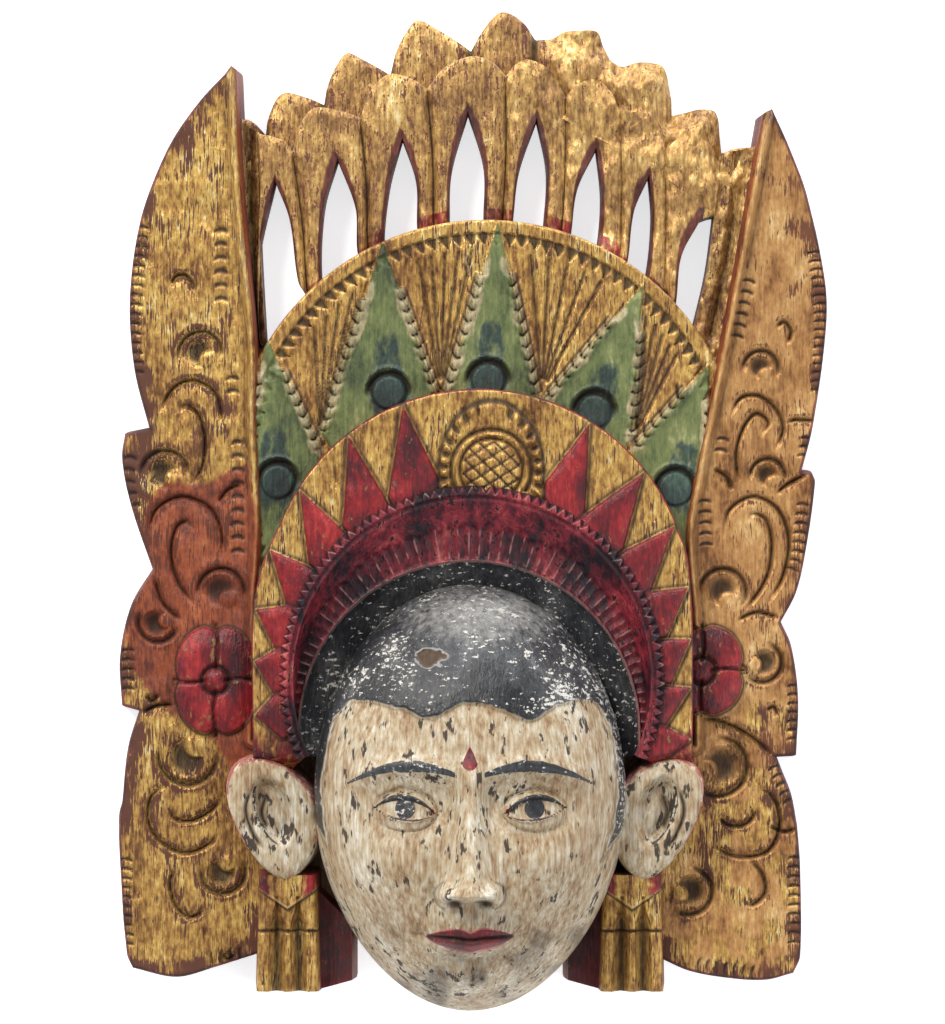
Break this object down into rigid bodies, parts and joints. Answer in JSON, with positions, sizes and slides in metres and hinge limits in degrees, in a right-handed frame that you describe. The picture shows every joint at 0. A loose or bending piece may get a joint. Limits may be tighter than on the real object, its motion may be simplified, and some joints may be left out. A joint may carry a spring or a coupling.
{
  "type": "carved wooden mask",
  "caption": "Carved and gilded wooden wall mask with a painted human face, banded tiara, leaf fan, pierced petal crown and two scrolled wings, hollow behind the face.",
  "frame": {"origin": "centre of the bounding box, on the flat back that the mask lies on", "axes": "+Z out of the face, +Y towards the crown's top, +X to the right as the face is looked at"},
  "size_m": [0.3304, 0.4636, 0.1196],
  "materials": {
    "gilded_wood": "worn gold leaf over red-brown ground, with red, green and cream paint, on carved softwood"
  },
  "bodies": {
    "root": {"mask": "gilded_wood"}
  },
  "joints": []
}
